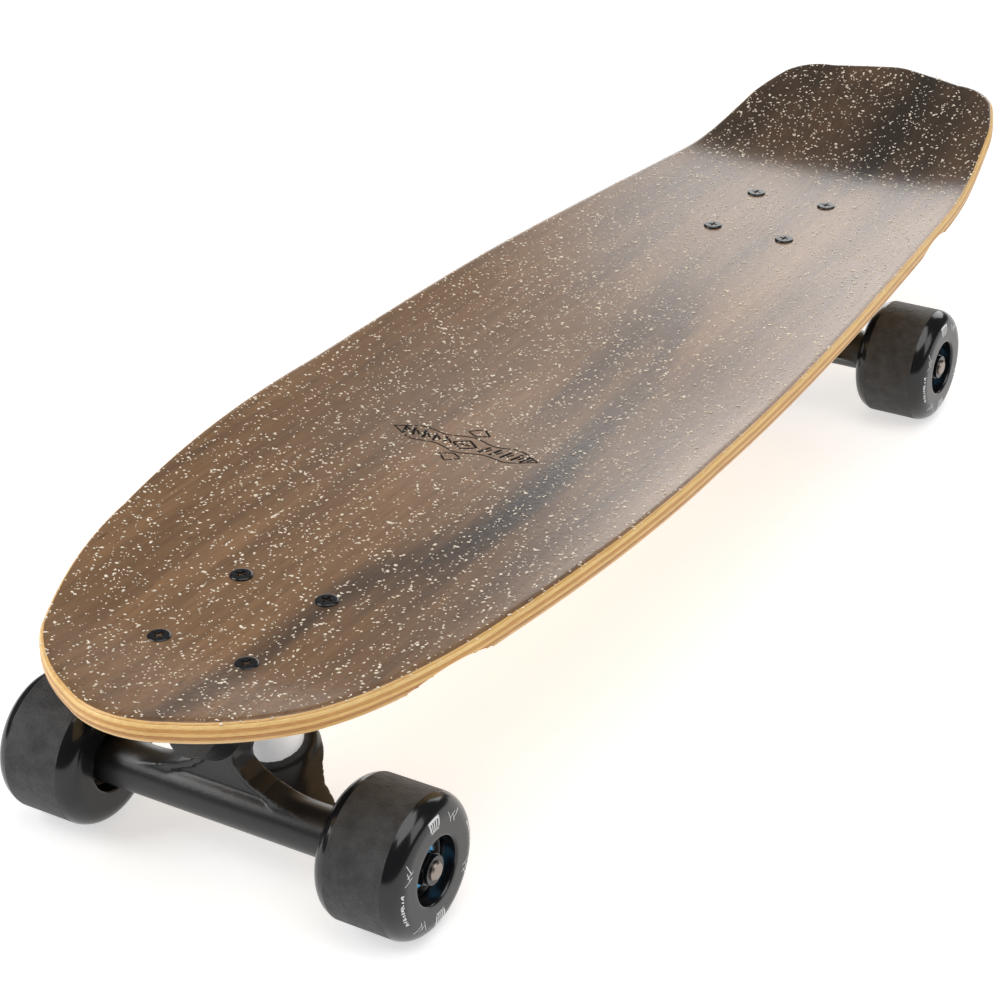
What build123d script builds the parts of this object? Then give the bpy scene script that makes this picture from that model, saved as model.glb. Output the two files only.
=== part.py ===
from build123d import *
from math import atan2, cos, degrees, exp, hypot, log, radians, sin, tan
import os

# Cruiser skateboard: a seven-ply kick-tail deck on two traditional-kingpin trucks and four soft wheels.
# Frame: millimetres, +Z up, ground at Z = 0, nose towards -Y, tail towards +Y, origin under the middle
# of the board. The rider faces the nose, so the board's left side is +X.

# ---- deck ----
DECK_LENGTH = 748.7
DECK_WIDTH = 212.6
PLY = 1.5  # one veneer
PLIES = 7
NOSE_REACH = 86.7  # nose tip to the middle of the front bolt pattern
WHEELBASE = 482.0  # between the middles of the two bolt patterns
CONCAVE_RISE = 9.2  # how far the side edge stands above the middle
ROCKER_DIP = 2.1  # the middle hangs this far below the truck pads
ROCKER_REACH = 110.0  # distance from the middle at which the dip has fallen to about a third
KICK_REACH = 98.7  # tail tip to the middle of the kick's bend
KICK_SOFTNESS = 11.0  # the bend is about six times this long
KICK_ANGLE = 18.1
LIFT_REACH = 56.4  # nose tip to the middle of its slight upward bend
LIFT_SOFTNESS = 6.0
LIFT_ANGLE = 5.7
WELL_DEPTH = 6.0  # wheel wells sanded into the underside at the edge
WELL_HALF = 30.0  # half-length of a wheel well along the edge
WELL_SHIFT_FRONT = 34.0  # well centre, from the axle towards the board's middle
WELL_SHIFT_REAR = 6.0
WELL_INNER = 55.0  # |x| where a well fades out
WELL_RIM = 14.0  # the full depth is reached this far in from the widest edge

# ---- trucks ----
WHEEL_RADIUS = 30.0
TRUCK_HEIGHT = 57.2  # axle centre to the baseplate's top face
RISER = 6.4
AXLE_OUT = 17.1  # axle centre, outwards from the bolt pattern's middle
HANGER_WIDTH = 128.0
AXLE_TAIL = 1.3  # thread showing past each axle nut
AXLE_RADIUS = 3.97
TUBE_RADIUS = 10.5  # hanger's round tube around the axle
BOLT_SPACING_X = 41.3
BOLT_SPACING_Y = 54.0
BOLT_RADIUS = 2.4
BOLT_HOLE = 2.75
BOLT_HEAD_RADIUS = 4.85
BOLT_HEAD_HEIGHT = 1.1
BOLT_SINK = 2.0  # depth of the countersunk cone below the deck's face
SINK_ROOM = 0.9  # the dished deck's face may stand this far above the pads at a screw
BOLT_NUT = 5.5  # locknut height
BOLT_TAIL = 1.2  # thread showing past the locknut
PLATE_WIDTH = 57.0
PLATE_LENGTH = 82.0
PLATE_THICKNESS = 6.0
PLATE_CORNER = 9.0
RING_IN = 15.0  # kingpin ring centre, inwards from the bolt pattern's middle
RING_RISE = 10.0  # ring centre above the axle
RING_RADIUS = 15.2
RING_HEIGHT = 9.0
RING_HOLE = 8.2
SEAT_DEPTH = 1.5  # bushing seats sunk into the ring
KINGPIN_TILT = 18.0
KINGPIN_RADIUS = 4.76
KINGPIN_HEAD = 6.0
PIVOT_OUT = 29.0  # pivot ball centre, outwards from the bolt pattern's middle
PIVOT_RISE = 40.0  # pivot ball centre above the axle
PIVOT_RADIUS = 6.0
CUP_WALL = 2.8
SEAT_GAP = 0.1  # the riser meets the dished deck along its middle
WEB_HALF = 46.0  # half-width of the web's foot on the tube
WEB_THICKNESS = 11.0
GUSSET_HALF = 40.0  # half-width of the gusset's foot on the tube
GUSSET_THICKNESS = 7.0
BUSHING_RADIUS = 11.0
BUSHING_TOP = 12.0  # boardside bushing height
BUSHING_LOW = 10.0  # roadside bushing height
CUP_WASHER = 1.5

# ---- wheels and bearings ----
WHEEL_WIDTH = 40.3
LIP_RADIUS = 8.5
RECESS_RADIUS = 13.75
BEARING_OUTER = 11.0
BORE_SLIP = 0.03  # the inner rings slide on the axle
BEARING_WIDTH = 7.0
INNER_RING_RADIUS = 6.0
OUTER_RING_BORE = 9.2
BALL_RADIUS = 1.984
BALLS = 7
PITCH_RADIUS = 7.5
SHIELD = 0.4  # shield thickness
SHIELD_SET = 0.3  # how far a shield sits inside the bearing's face
SHIELD_RADIUS = 9.8
SPACER = 10.0  # between the two bearings
SPACER_RADIUS = 5.4
SHOULDER_RADIUS = 9.4  # urethane left between the bearing seats
SPEED_WASHER = 1.0
SPEED_WASHER_RADIUS = 5.8
AXLE_NUT = 6.0
AXLE_NUT_FLATS = 12.7

# ---- clearances ----
RUN = 0.05  # running fits, on radius
FIT = 0.02  # pushed-in fits within one body, on radius

DECK_THICKNESS = PLY * PLIES
PLATE_TOP = WHEEL_RADIUS + TRUCK_HEIGHT
DECK_BOTTOM = PLATE_TOP + RISER
DECK_TOP = DECK_BOTTOM + DECK_THICKNESS
FRONT_Y = -DECK_LENGTH / 2 + NOSE_REACH
REAR_Y = FRONT_Y + WHEELBASE
CUP_RADIUS = PIVOT_RADIUS + RUN + CUP_WALL
BEARING_BORE = AXLE_RADIUS + BORE_SLIP
BEARING_FROM = HANGER_WIDTH / 2 + SPEED_WASHER  # |x| of the inner bearing's inner face
BEARING_TO = BEARING_FROM + 2 * BEARING_WIDTH + SPACER
WHEEL_X = (BEARING_FROM + BEARING_TO) / 2
AXLE_LENGTH = 2 * (BEARING_TO + SPEED_WASHER + AXLE_NUT + AXLE_TAIL)
BOLTS = [(sx * BOLT_SPACING_X / 2, sy * BOLT_SPACING_Y / 2) for sx in (-1, 1) for sy in (-1, 1)]


# ---------------------------------------------------------------- deck

def deck_rise(x, y):
    """Height of the top face above the truck pads: a bell-shaped rocker dip between the trucks, a kick
    and a slight nose lift that bend smoothly from flat to full slope, and a side concave of half x^2
    and half x^4."""
    middle = (FRONT_Y + REAR_Y) / 2
    rocker = -ROCKER_DIP * exp(-((y - middle) / ROCKER_REACH) ** 2)
    past = (y - (DECK_LENGTH / 2 - KICK_REACH)) / KICK_SOFTNESS
    kick = tan(radians(KICK_ANGLE)) * KICK_SOFTNESS * log(1 + exp(past))
    ahead = (-y - (DECK_LENGTH / 2 - LIFT_REACH)) / LIFT_SOFTNESS
    lift = tan(radians(LIFT_ANGLE)) * LIFT_SOFTNESS * log(1 + exp(ahead))
    side = x / (DECK_WIDTH / 2)
    return rocker + kick + lift + CONCAVE_RISE * (side**2 + side**4) / 2


def deck_face():
    """The top face as one smooth sheet, a little larger than the deck."""
    margin = 14.0
    rows, columns = 61, 13
    half_l, half_w = DECK_LENGTH / 2 + margin, DECK_WIDTH / 2 + margin
    xs = [-half_w + 2 * half_w * i / (columns - 1) for i in range(columns)]
    ys = [-half_l + 2 * half_l * j / (rows - 1) for j in range(rows)]
    grid = [[Vector(x, y, DECK_TOP + deck_rise(x, y)) for y in ys] for x in xs]
    return Face.make_surface_from_array_of_points(grid, tol=0.02)


def deck_outline():
    """Plan outline as a chain of arcs, each through three stations: a round nose, long bowed sides,
    rounded tail corners and a blunt pointed tail. A station is (distance from the nose, half-width)."""
    length, width = 748.7, 212.6  # the board these stations were laid out on
    nose_and_sides = [(6.4, 23.0), (20.2, 44.6), (41.3, 64.1), (78.6, 81.6), (133.0, 95.0), (207.7, 104.7),
                      (287.7, 106.3), (367.8, 105.1), (448.0, 101.3), (518.1, 95.6), (612.7, 86.6)]
    tail = [(657.7, 80.5), (701.0, 73.8), (716.0, 68.9), (726.0, 64.5), (735.0, 55.6), (740.2, 39.7),
            (744.4, 23.4), (748.5, 4.0)]
    right = [
        (w / width * DECK_WIDTH, (d / length - 0.5) * DECK_LENGTH) for d, w in nose_and_sides + tail
    ]
    left = [(-x, y) for x, y in right]
    arcs = [
        ThreePointArc(left[0], (0, -DECK_LENGTH / 2), right[0]),
        ThreePointArc(left[-1], (0, DECK_LENGTH / 2), right[-1]),
    ]
    for side in (right, left):
        arcs += [ThreePointArc(*side[i:i + 3]) for i in range(0, len(side) - 2, 2)]
    return Wire(arcs)


def wheel_wells():
    """Four shallow scoops: drums whose axes rise outwards, so that each scoop deepens to the edge."""
    edge = DECK_WIDTH / 2 - WELL_RIM
    low = DECK_BOTTOM + deck_rise(WELL_INNER, FRONT_Y)
    high = DECK_BOTTOM + deck_rise(edge, FRONT_Y) + WELL_DEPTH
    lean = degrees(atan2(high - low, edge - WELL_INNER))
    radius = (WELL_HALF**2 + WELL_DEPTH**2) / (2 * WELL_DEPTH)
    reach = DECK_WIDTH - WELL_INNER  # well past the edge
    drums = []
    for y in (FRONT_Y - AXLE_OUT + WELL_SHIFT_FRONT, REAR_Y + AXLE_OUT - WELL_SHIFT_REAR):
        for side in (-1, 1):
            drum = Pos(side * reach / 2, 0, -radius) * Rot(0, 90, 0) * Cylinder(radius, reach)
            drums.append(Pos(side * WELL_INNER, y, low) * Rot(0, -side * lean, 0) * drum)
    return drums


def deck():
    """The veneers, from the top one down. The upper two are opened wider for the countersunk heads."""
    face = deck_face()
    tall = 2 * DECK_TOP
    blank = extrude(Face(deck_outline()), amount=tall)
    for well in wheel_wells():
        blank -= well
    names = ["top_veneer", "ply_2", "ply_3", "core_ply_4", "ply_5", "ply_6", "bottom_veneer"]
    made = {}
    for i, name in enumerate(names):
        room = SINK_ROOM if i else 0.0
        sunk = max(0.0, BOLT_SINK + room - i * PLY) / BOLT_SINK
        hole = BOLT_HOLE + sunk * (BOLT_HEAD_RADIUS + FIT - BOLT_HOLE)
        pierced = blank
        for middle in (FRONT_Y, REAR_Y):
            for x, y in BOLTS:
                pierced -= Pos(x, y + middle, 0) * along_z(hole, 0, tall)
        slab = extrude(Pos(0, 0, -(i + 1) * PLY) * face, amount=PLY, dir=(0, 0, 1))
        made["deck_" + name] = (slab & pierced).solids()
    return made


# ---------------------------------------------------------------- trucks
# A truck is modelled with its middle on the Z axis and +Y outwards, then set at the nose or the tail.

RING = Vector(0, -RING_IN, WHEEL_RADIUS + RING_RISE)
PIVOT = Vector(0, PIVOT_OUT, WHEEL_RADIUS + PIVOT_RISE)
STEER_ANGLE = degrees(atan2(PIVOT.Z - RING.Z, PIVOT.Y - RING.Y))  # steering axis above the horizontal
PIN_FRAME = Pos(*RING) * Rot(-KINGPIN_TILT, 0, 0)  # local Z up along the kingpin
PIVOT_FRAME = Pos(*PIVOT) * Rot(STEER_ANGLE - 90, 0, 0)  # local Z outwards along the steering axis
AXLE_FRAME = Pos(0, AXLE_OUT, WHEEL_RADIUS) * Rot(0, 90, 0)  # local Z along the axle

BUSHING_TOP_FROM = RING_HEIGHT / 2 - SEAT_DEPTH
WASHER_TOP_FROM = BUSHING_TOP_FROM + BUSHING_TOP
BOSS_FROM = WASHER_TOP_FROM + CUP_WASHER
HEAD_FROM = (PLATE_TOP - RING.Z) / cos(radians(KINGPIN_TILT)) - KINGPIN_HEAD - 2.6
NUT_FROM = -(BUSHING_TOP_FROM + BUSHING_LOW + CUP_WASHER)
KINGPIN_NUT = 8.4
KINGPIN_FLATS = 14.3
KINGPIN_TAIL = 2.5  # thread showing past the nut


def along_z(radius, start, end):
    """A cylinder on the Z axis from start to end."""
    return Pos(0, 0, (start + end) / 2) * Cylinder(radius, abs(end - start))


def cone_z(radius_start, radius_end, start, end):
    return Pos(0, 0, (start + end) / 2) * Cone(radius_start, radius_end, end - start)


def hex_z(flats, start, end):
    """A hexagonal prism on the Z axis, with its corners eased."""
    prism = Pos(0, 0, start) * extrude(RegularPolygon(flats / 2, 6, major_radius=False), amount=end - start)
    corner = flats / 2 / cos(radians(30))
    ease = 0.5 * (corner - flats / 2)
    span = end - start
    shape = cone_z(corner - ease, corner - ease + span, start, end)
    return prism & shape & cone_z(corner - ease + span, corner - ease, start, end)


def nylock(flats, thread, start, end):
    """A lock nut: a hexagon with the round collar of its nylon insert facing away from the joint."""
    collar = start + 0.72 * (end - start)
    body = hex_z(flats, start, collar) + along_z(flats / 2 - 0.3, collar, end)
    return body - along_z(thread, start - 1, end + 1)


def rounded_plate(thickness, bottom):
    sheet = RectangleRounded(PLATE_WIDTH, PLATE_LENGTH, PLATE_CORNER)
    for x, y in BOLTS:
        sheet -= Pos(x, y) * Circle(BOLT_HOLE)
    return Pos(0, 0, bottom) * extrude(sheet, amount=thickness)


def riser_pad():
    return rounded_plate(RISER - SEAT_GAP, PLATE_TOP)


def baseplate():
    """Plate with a boss for the kingpin's head and one for the pivot cup."""
    plate = rounded_plate(PLATE_THICKNESS, PLATE_TOP - PLATE_THICKNESS)
    collar = BUSHING_RADIUS + 2.0
    wall = CUP_RADIUS + 3.2
    kingpin_boss = PIN_FRAME * (along_z(collar, BOSS_FROM, HEAD_FROM + 4) + cone_z(
        collar, collar + 6.0, BOSS_FROM + 6, HEAD_FROM + 12))
    pivot_boss = PIVOT_FRAME * along_z(wall, -8.0, 9.0)
    rise = PLATE_TOP - PIVOT.Z - 2
    foot = Pos(0, PIVOT_OUT - 1, PIVOT.Z + rise / 2 + 2) * Box(2 * wall, 21, rise)
    rib = Pos(0, 9, PLATE_TOP - PLATE_THICKNESS - 3) * Box(9, 32, 14)
    bosses = fillet(foot.edges().filter_by(Axis.Z), 6.0) + pivot_boss + kingpin_boss + rib
    above = Pos(0, 0, PLATE_TOP + PLATE_LENGTH / 2) * Box(2 * PLATE_WIDTH, 2 * PLATE_LENGTH, PLATE_LENGTH)
    body = plate + bosses - above
    body -= PIN_FRAME * along_z(KINGPIN_RADIUS + FIT, BOSS_FROM - 5, HEAD_FROM + 1)
    body -= PIN_FRAME * along_z(KINGPIN_FLATS / 2 / cos(radians(30)) + 0.2, HEAD_FROM, HEAD_FROM + 30)
    body -= PIVOT_FRAME * (along_z(CUP_RADIUS + FIT, -40.0, 0) + Sphere(CUP_RADIUS + FIT))
    swing = PIVOT_FRAME * cone_z(26.0, CUP_RADIUS, -40.0, -8.0)
    return body - swing


def pivot_cup():
    """Urethane cup that the hanger's pivot turns in."""
    outside = along_z(CUP_RADIUS, -7.0, 0) + Sphere(CUP_RADIUS)
    inside = along_z(PIVOT_RADIUS + RUN, -9.0, 0) + Sphere(PIVOT_RADIUS + RUN)
    return PIVOT_FRAME * (outside - inside)


def kingpin():
    shank = along_z(KINGPIN_RADIUS, NUT_FROM - KINGPIN_NUT - KINGPIN_TAIL, HEAD_FROM)
    shank = chamfer(shank.edges().group_by(Axis.Z)[0], 0.8)
    return PIN_FRAME * (shank + hex_z(KINGPIN_FLATS, HEAD_FROM, HEAD_FROM + KINGPIN_HEAD))


def kingpin_nut():
    nut = nylock(KINGPIN_FLATS, KINGPIN_RADIUS + FIT, -NUT_FROM, -NUT_FROM + KINGPIN_NUT)
    return PIN_FRAME * Rot(180, 0, 0) * nut


def cup_washers():
    """Dished washers, one above the boardside bushing and one below the roadside bushing."""
    bore = along_z(KINGPIN_RADIUS + 0.15, -60, 60)
    upper = along_z(BUSHING_RADIUS + 1.0, WASHER_TOP_FROM, BOSS_FROM) - bore
    lower = along_z(BUSHING_RADIUS - 1.0, NUT_FROM, NUT_FROM + CUP_WASHER) - bore
    return [PIN_FRAME * upper, PIN_FRAME * lower]


def bushing(start, end, wide, narrow):
    """A urethane bushing: a barrel with eased rims, tapering away from the ring."""
    body = cone_z(wide, narrow, start, end) if end > start else cone_z(narrow, wide, end, start)
    body = fillet(body.edges().filter_by(GeomType.CIRCLE), 1.0)
    return PIN_FRAME * (body - along_z(KINGPIN_RADIUS + 0.15, -60, 60))


def hanger():
    """Cast hanger: a tube around the axle, a kingpin ring joined to it by a flared gusset, and a
    triangular web that narrows upwards into the pivot stem, with a raised rib along each edge."""
    tube = AXLE_FRAME * along_z(TUBE_RADIUS, -HANGER_WIDTH / 2, HANGER_WIDTH / 2)
    tube = fillet(tube.edges().filter_by(GeomType.CIRCLE), 1.5)
    reach = hypot(AXLE_OUT + RING_IN, RING_RISE)
    ring_plane = Pos(*RING) * Rot(degrees(atan2(-RING_RISE, AXLE_OUT + RING_IN)), 0, 0)
    wing = Polyline((-13, -4), (-GUSSET_HALF, reach), (GUSSET_HALF, reach), (13, -4), close=True)
    gusset = extrude(make_face(wing), amount=GUSSET_THICKNESS / 2, both=True)
    ring = PIN_FRAME * cone_z(RING_RADIUS + 4.0, RING_RADIUS, -RING_HEIGHT / 2, RING_HEIGHT / 2)
    stem_back = 22.0
    stem = PIVOT_FRAME * (cone_z(8.5, PIVOT_RADIUS + 0.8, -stem_back, -9.0) + along_z(
        PIVOT_RADIUS, -9.5, 0) + Sphere(PIVOT_RADIUS))
    top = PIVOT.Z - (stem_back - 4) * sin(radians(STEER_ANGLE))
    profile = [(WEB_HALF, 30.0), (37.3, 37.3), (28.4, 39.8), (20.9, 42.1), (13.5, 45.5), (8.5, top)]
    left = [(-x, z) for x, z in reversed(profile)]
    sheet = make_face(Polyline(*profile, *left, close=True))
    web = Pos(0, AXLE_OUT + WEB_THICKNESS / 2, 0) * extrude(Plane.XZ * sheet, amount=WEB_THICKNESS)
    body = tube + ring_plane * gusset + ring + web + stem
    body -= AXLE_FRAME * along_z(AXLE_RADIUS + FIT, -HANGER_WIDTH, HANGER_WIDTH)
    body -= PIN_FRAME * along_z(RING_HOLE, -30, 30)
    body -= PIN_FRAME * along_z(BUSHING_RADIUS + 0.4, BUSHING_TOP_FROM, 30)
    body -= PIN_FRAME * along_z(BUSHING_RADIUS + 0.4, -30, -BUSHING_TOP_FROM)
    return body


def axle():
    rod = along_z(AXLE_RADIUS, -AXLE_LENGTH / 2, AXLE_LENGTH / 2)
    return AXLE_FRAME * chamfer(rod.edges().filter_by(GeomType.CIRCLE), 0.7)


def speed_washers():
    """Two on each side, against the inner rings of the outermost bearings."""
    made = []
    for start in (HANGER_WIDTH / 2, BEARING_TO):
        ring = along_z(SPEED_WASHER_RADIUS, start, start + SPEED_WASHER)
        ring -= along_z(AXLE_RADIUS + RUN, start - 1, start + SPEED_WASHER + 1)
        made += [AXLE_FRAME * ring, AXLE_FRAME * (Rot(180, 0, 0) * ring)]
    return made


def axle_nuts():
    start = BEARING_TO + SPEED_WASHER
    nut = nylock(AXLE_NUT_FLATS, AXLE_RADIUS + FIT, start, start + AXLE_NUT)
    return [AXLE_FRAME * nut, AXLE_FRAME * (Rot(180, 0, 0) * nut)]


def mounting_bolts():
    """Countersunk screws through deck, riser and baseplate, with a cross recess in a low domed head."""
    end = PLATE_TOP - PLATE_THICKNESS - BOLT_NUT - BOLT_TAIL
    shank = along_z(BOLT_RADIUS, end, DECK_TOP - BOLT_SINK)
    shank = chamfer(shank.edges().group_by(Axis.Z)[0], 0.5)
    cone = cone_z(BOLT_RADIUS, BOLT_HEAD_RADIUS, DECK_TOP - BOLT_SINK, DECK_TOP)
    head = along_z(BOLT_HEAD_RADIUS, DECK_TOP, DECK_TOP + BOLT_HEAD_HEIGHT)
    head = fillet(head.edges().group_by(Axis.Z)[-1], BOLT_HEAD_HEIGHT - 0.2)
    screw = shank + cone + head
    depth = BOLT_HEAD_HEIGHT + 0.8
    for turn in (0, 90):
        slot = Box(BOLT_HEAD_RADIUS, 1.1, depth)
        screw -= Pos(0, 0, DECK_TOP + BOLT_HEAD_HEIGHT - depth / 2) * Rot(0, 0, turn) * slot
    return [Pos(x, y, 0) * screw for x, y in BOLTS]


def mounting_nuts():
    bottom = PLATE_TOP - PLATE_THICKNESS
    nut = Rot(180, 0, 0) * nylock(9.5, BOLT_RADIUS + FIT, -bottom, -bottom + BOLT_NUT)
    return [Pos(x, y, 0) * nut for x, y in BOLTS]


def truck(name, middle, turn):
    """All parts of one truck. The turn sends its outward side to the nose or to the tail."""
    boardside = bushing(BUSHING_TOP_FROM, WASHER_TOP_FROM, BUSHING_RADIUS, BUSHING_RADIUS - 0.4)
    low_end = -BUSHING_TOP_FROM - BUSHING_LOW
    roadside = bushing(-BUSHING_TOP_FROM, low_end, BUSHING_RADIUS, BUSHING_RADIUS - 2.5)
    parts = {
        "riser_pad": riser_pad(),
        "baseplate": baseplate(),
        "pivot_cup": pivot_cup(),
        "kingpin": kingpin(),
        "kingpin_nut": kingpin_nut(),
        "cup_washers": cup_washers(),
        "boardside_bushing": boardside,
        "roadside_bushing": roadside,
        "hanger": hanger(),
        "axle": axle(),
        "speed_washers": speed_washers(),
        "axle_nuts": axle_nuts(),
        "mounting_bolts": mounting_bolts(),
        "mounting_nuts": mounting_nuts(),
    }
    place = Pos(0, middle, 0) * Rot(0, 0, turn)
    return {f"{name}_{key}": moved(shapes, place) for key, shapes in parts.items()}


def moved(shapes, place):
    """The solids of one shape or of a list of shapes, set in place."""
    group = shapes if isinstance(shapes, list) else [shapes]
    return [solid for shape in group for solid in (place * shape).solids()]


# ---------------------------------------------------------------- wheels
# A wheel is modelled on the X axis with its middle at the origin.

ON_AXLE = Rot(0, 90, 0)


def wheel_tyre():
    """One piece of urethane: flat tread, round lips, flat sides with a deep recess, two bearing seats."""
    half, hub = WHEEL_WIDTH / 2, BEARING_WIDTH + SPACER / 2
    blank = fillet(Cylinder(WHEEL_RADIUS, WHEEL_WIDTH).edges().filter_by(GeomType.CIRCLE), LIP_RADIUS)
    for side in (-1, 1):
        blank -= along_z(RECESS_RADIUS, side * hub, side * (half + 1))
        blank -= along_z(BEARING_OUTER, side * SPACER / 2, side * (hub + 1))
    blank -= along_z(SHOULDER_RADIUS, -SPACER, SPACER)
    return [ON_AXLE * blank]


def ring_z(outer, inner, start, end):
    return along_z(outer, start, end) - along_z(inner, start - 1, end + 1)


def both_bearings(shapes):
    """The shapes of one bearing, which is centred on the origin, at both of the wheel's seats."""
    offset = (SPACER + BEARING_WIDTH) / 2
    return [ON_AXLE * Pos(0, 0, side * offset) * shape for side in (-1, 1) for shape in shapes]


def groove():
    return Torus(PITCH_RADIUS, BALL_RADIUS + RUN)


def outer_rings():
    half = BEARING_WIDTH / 2
    ring = ring_z(BEARING_OUTER - FIT, OUTER_RING_BORE, -half, half) - groove()
    for side in (-1, 1):
        ring -= along_z(SHIELD_RADIUS + FIT, side * (half - SHIELD_SET - SHIELD), side * (half + 1))
    return both_bearings([ring])


def inner_rings():
    half = BEARING_WIDTH / 2
    return both_bearings([ring_z(INNER_RING_RADIUS, BEARING_BORE, -half, half) - groove()])


def ball_set():
    """Seven balls held in a one-piece retainer whose pockets clear them all round."""
    retainer = ring_z(PITCH_RADIUS + 0.65, PITCH_RADIUS - 0.65, -BALL_RADIUS - 0.5, BALL_RADIUS + 0.5)
    balls = []
    for i in range(BALLS):
        spot = Rot(0, 0, 360 / BALLS * i) * Pos(PITCH_RADIUS, 0, 0)
        retainer -= spot * Rot(0, 90, 0) * Cylinder(BALL_RADIUS + RUN, 3.0)
        balls.append(spot * Sphere(BALL_RADIUS))
    return both_bearings([retainer, *balls])


def shields():
    """Thin rubber-coated washers pressed into the outer ring, clear of the inner ring."""
    half = BEARING_WIDTH / 2
    made = []
    for side in (-1, 1):
        face = side * (half - SHIELD_SET)
        made.append(ring_z(SHIELD_RADIUS, INNER_RING_RADIUS + 0.3, min(face, face - side * SHIELD),
                           max(face, face - side * SHIELD)))
    return both_bearings(made)


def spacer():
    return [ON_AXLE * ring_z(SPACER_RADIUS, BEARING_BORE, -SPACER / 2, SPACER / 2)]


def wheel(name, side, axle_y):
    parts = {
        "wheel": wheel_tyre(),
        "bearing_outer_rings": outer_rings(),
        "bearing_shields": shields(),
        "bearing_ball_sets": ball_set(),
        "bearing_inner_rings": inner_rings(),
        "bearing_spacer": spacer(),
    }
    place = Pos(side * WHEEL_X, axle_y, WHEEL_RADIUS)
    return {f"{name}_{key}": moved(shapes, place) for key, shapes in parts.items()}


def main():
    os.makedirs("parts", exist_ok=True)
    nodes = {}
    nodes.update({name: list(solids) for name, solids in deck().items()})
    nodes.update(truck("front", FRONT_Y, 180))
    nodes.update(truck("rear", REAR_Y, 0))
    for end, axle_y in (("front", FRONT_Y - AXLE_OUT), ("rear", REAR_Y + AXLE_OUT)):
        for side, word in ((1, "left"), (-1, "right")):
            nodes.update(wheel(f"{end}_{word}", side, axle_y))
    for name, solids in nodes.items():
        shape = solids[0] if len(solids) == 1 else Compound(children=solids)
        export_step(shape, f"parts/{name}.step")
    print(len(nodes), "nodes,", sum(len(solids) for solids in nodes.values()), "solids")


if __name__ == "__main__":
    main()
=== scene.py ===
"""Visual model of a kick-tail cruiser skateboard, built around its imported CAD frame, in metres.

The nose points to -Y, the kick tail to +Y, and the ground is Z = 0. New surfaces are worked out with numpy
in millimetres and scaled when they become meshes.
"""

import math

import bmesh
import bpy
import numpy as np
from mathutils import Matrix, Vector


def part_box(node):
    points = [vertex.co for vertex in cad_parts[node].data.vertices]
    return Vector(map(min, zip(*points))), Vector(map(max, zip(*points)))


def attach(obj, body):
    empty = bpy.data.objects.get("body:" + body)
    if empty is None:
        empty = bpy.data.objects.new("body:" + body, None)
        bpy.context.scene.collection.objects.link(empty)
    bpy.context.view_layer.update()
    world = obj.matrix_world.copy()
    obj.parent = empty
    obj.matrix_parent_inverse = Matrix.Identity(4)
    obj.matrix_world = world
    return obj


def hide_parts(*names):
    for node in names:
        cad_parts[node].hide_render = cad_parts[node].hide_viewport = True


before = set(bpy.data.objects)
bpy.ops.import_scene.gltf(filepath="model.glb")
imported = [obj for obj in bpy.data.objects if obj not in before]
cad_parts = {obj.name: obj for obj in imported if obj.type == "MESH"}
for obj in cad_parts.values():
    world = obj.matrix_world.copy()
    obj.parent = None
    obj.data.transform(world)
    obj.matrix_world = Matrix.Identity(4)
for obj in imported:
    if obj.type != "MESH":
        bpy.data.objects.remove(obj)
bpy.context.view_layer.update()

MM = 0.001
SIDES = {"left": 1, "right": -1}
ENDS = ("front", "rear")

# ---------------------------------------------------------------- places read from the frame


def box_mm(node):
    """Lowest and highest corner of a CAD node, in millimetres."""
    low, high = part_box(node)
    return np.array(low) / MM, np.array(high) / MM


def centre_mm(node):
    low, high = box_mm(node)
    return (low + high) / 2


DECK_LOW, DECK_HIGH = box_mm("deck_top_veneer")
DECK_LENGTH = DECK_HIGH[1] - DECK_LOW[1]
PLAN_LENGTH = 748.7
DECK_WIDTH = 212.6
PLIES = ("top_veneer", "ply_2", "ply_3", "core_ply_4", "ply_5", "ply_6", "bottom_veneer")
PLY = 1.5
THICKNESS = PLY * len(PLIES)
AXLE_HEIGHT = centre_mm("front_axle")[2]
AXLE_Y = {end: centre_mm(f"{end}_axle")[1] for end in ENDS}
TRUCK_Y = {end: centre_mm(f"{end}_riser_pad")[1] for end in ENDS}
OUTWARD = {"front": -1, "rear": 1}
RISER_TOP = box_mm("front_riser_pad")[1][2]
SEAT_GAP = 0.1
DECK_TOP = RISER_TOP + SEAT_GAP + THICKNESS
WHEEL_X = centre_mm("front_left_wheel")[0]

# ---------------------------------------------------------------- mesh making


def grid_quads(rows, columns, wrap_rows=False, wrap_columns=False):
    """Corner indices of the quads of a rows x columns grid of points, row by row."""
    r = np.arange(rows if wrap_rows else rows - 1)
    c = np.arange(columns if wrap_columns else columns - 1)
    r0, c0 = np.meshgrid(r, c, indexing="ij")
    r1, c1 = (r0 + 1) % rows, (c0 + 1) % columns
    quads = [r0 * columns + c0, r1 * columns + c0, r1 * columns + c1, r0 * columns + c1]
    return np.stack(quads, -1).reshape(-1, 4)


def join_grids(*parts):
    """Joins (points, quads) pairs into one pair."""
    points, quads, start = [], [], 0
    for part_points, part_quads in parts:
        points.append(part_points.reshape(-1, 3))
        quads.append(part_quads + start)
        start += len(points[-1])
    return np.concatenate(points), np.concatenate(quads)


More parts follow.
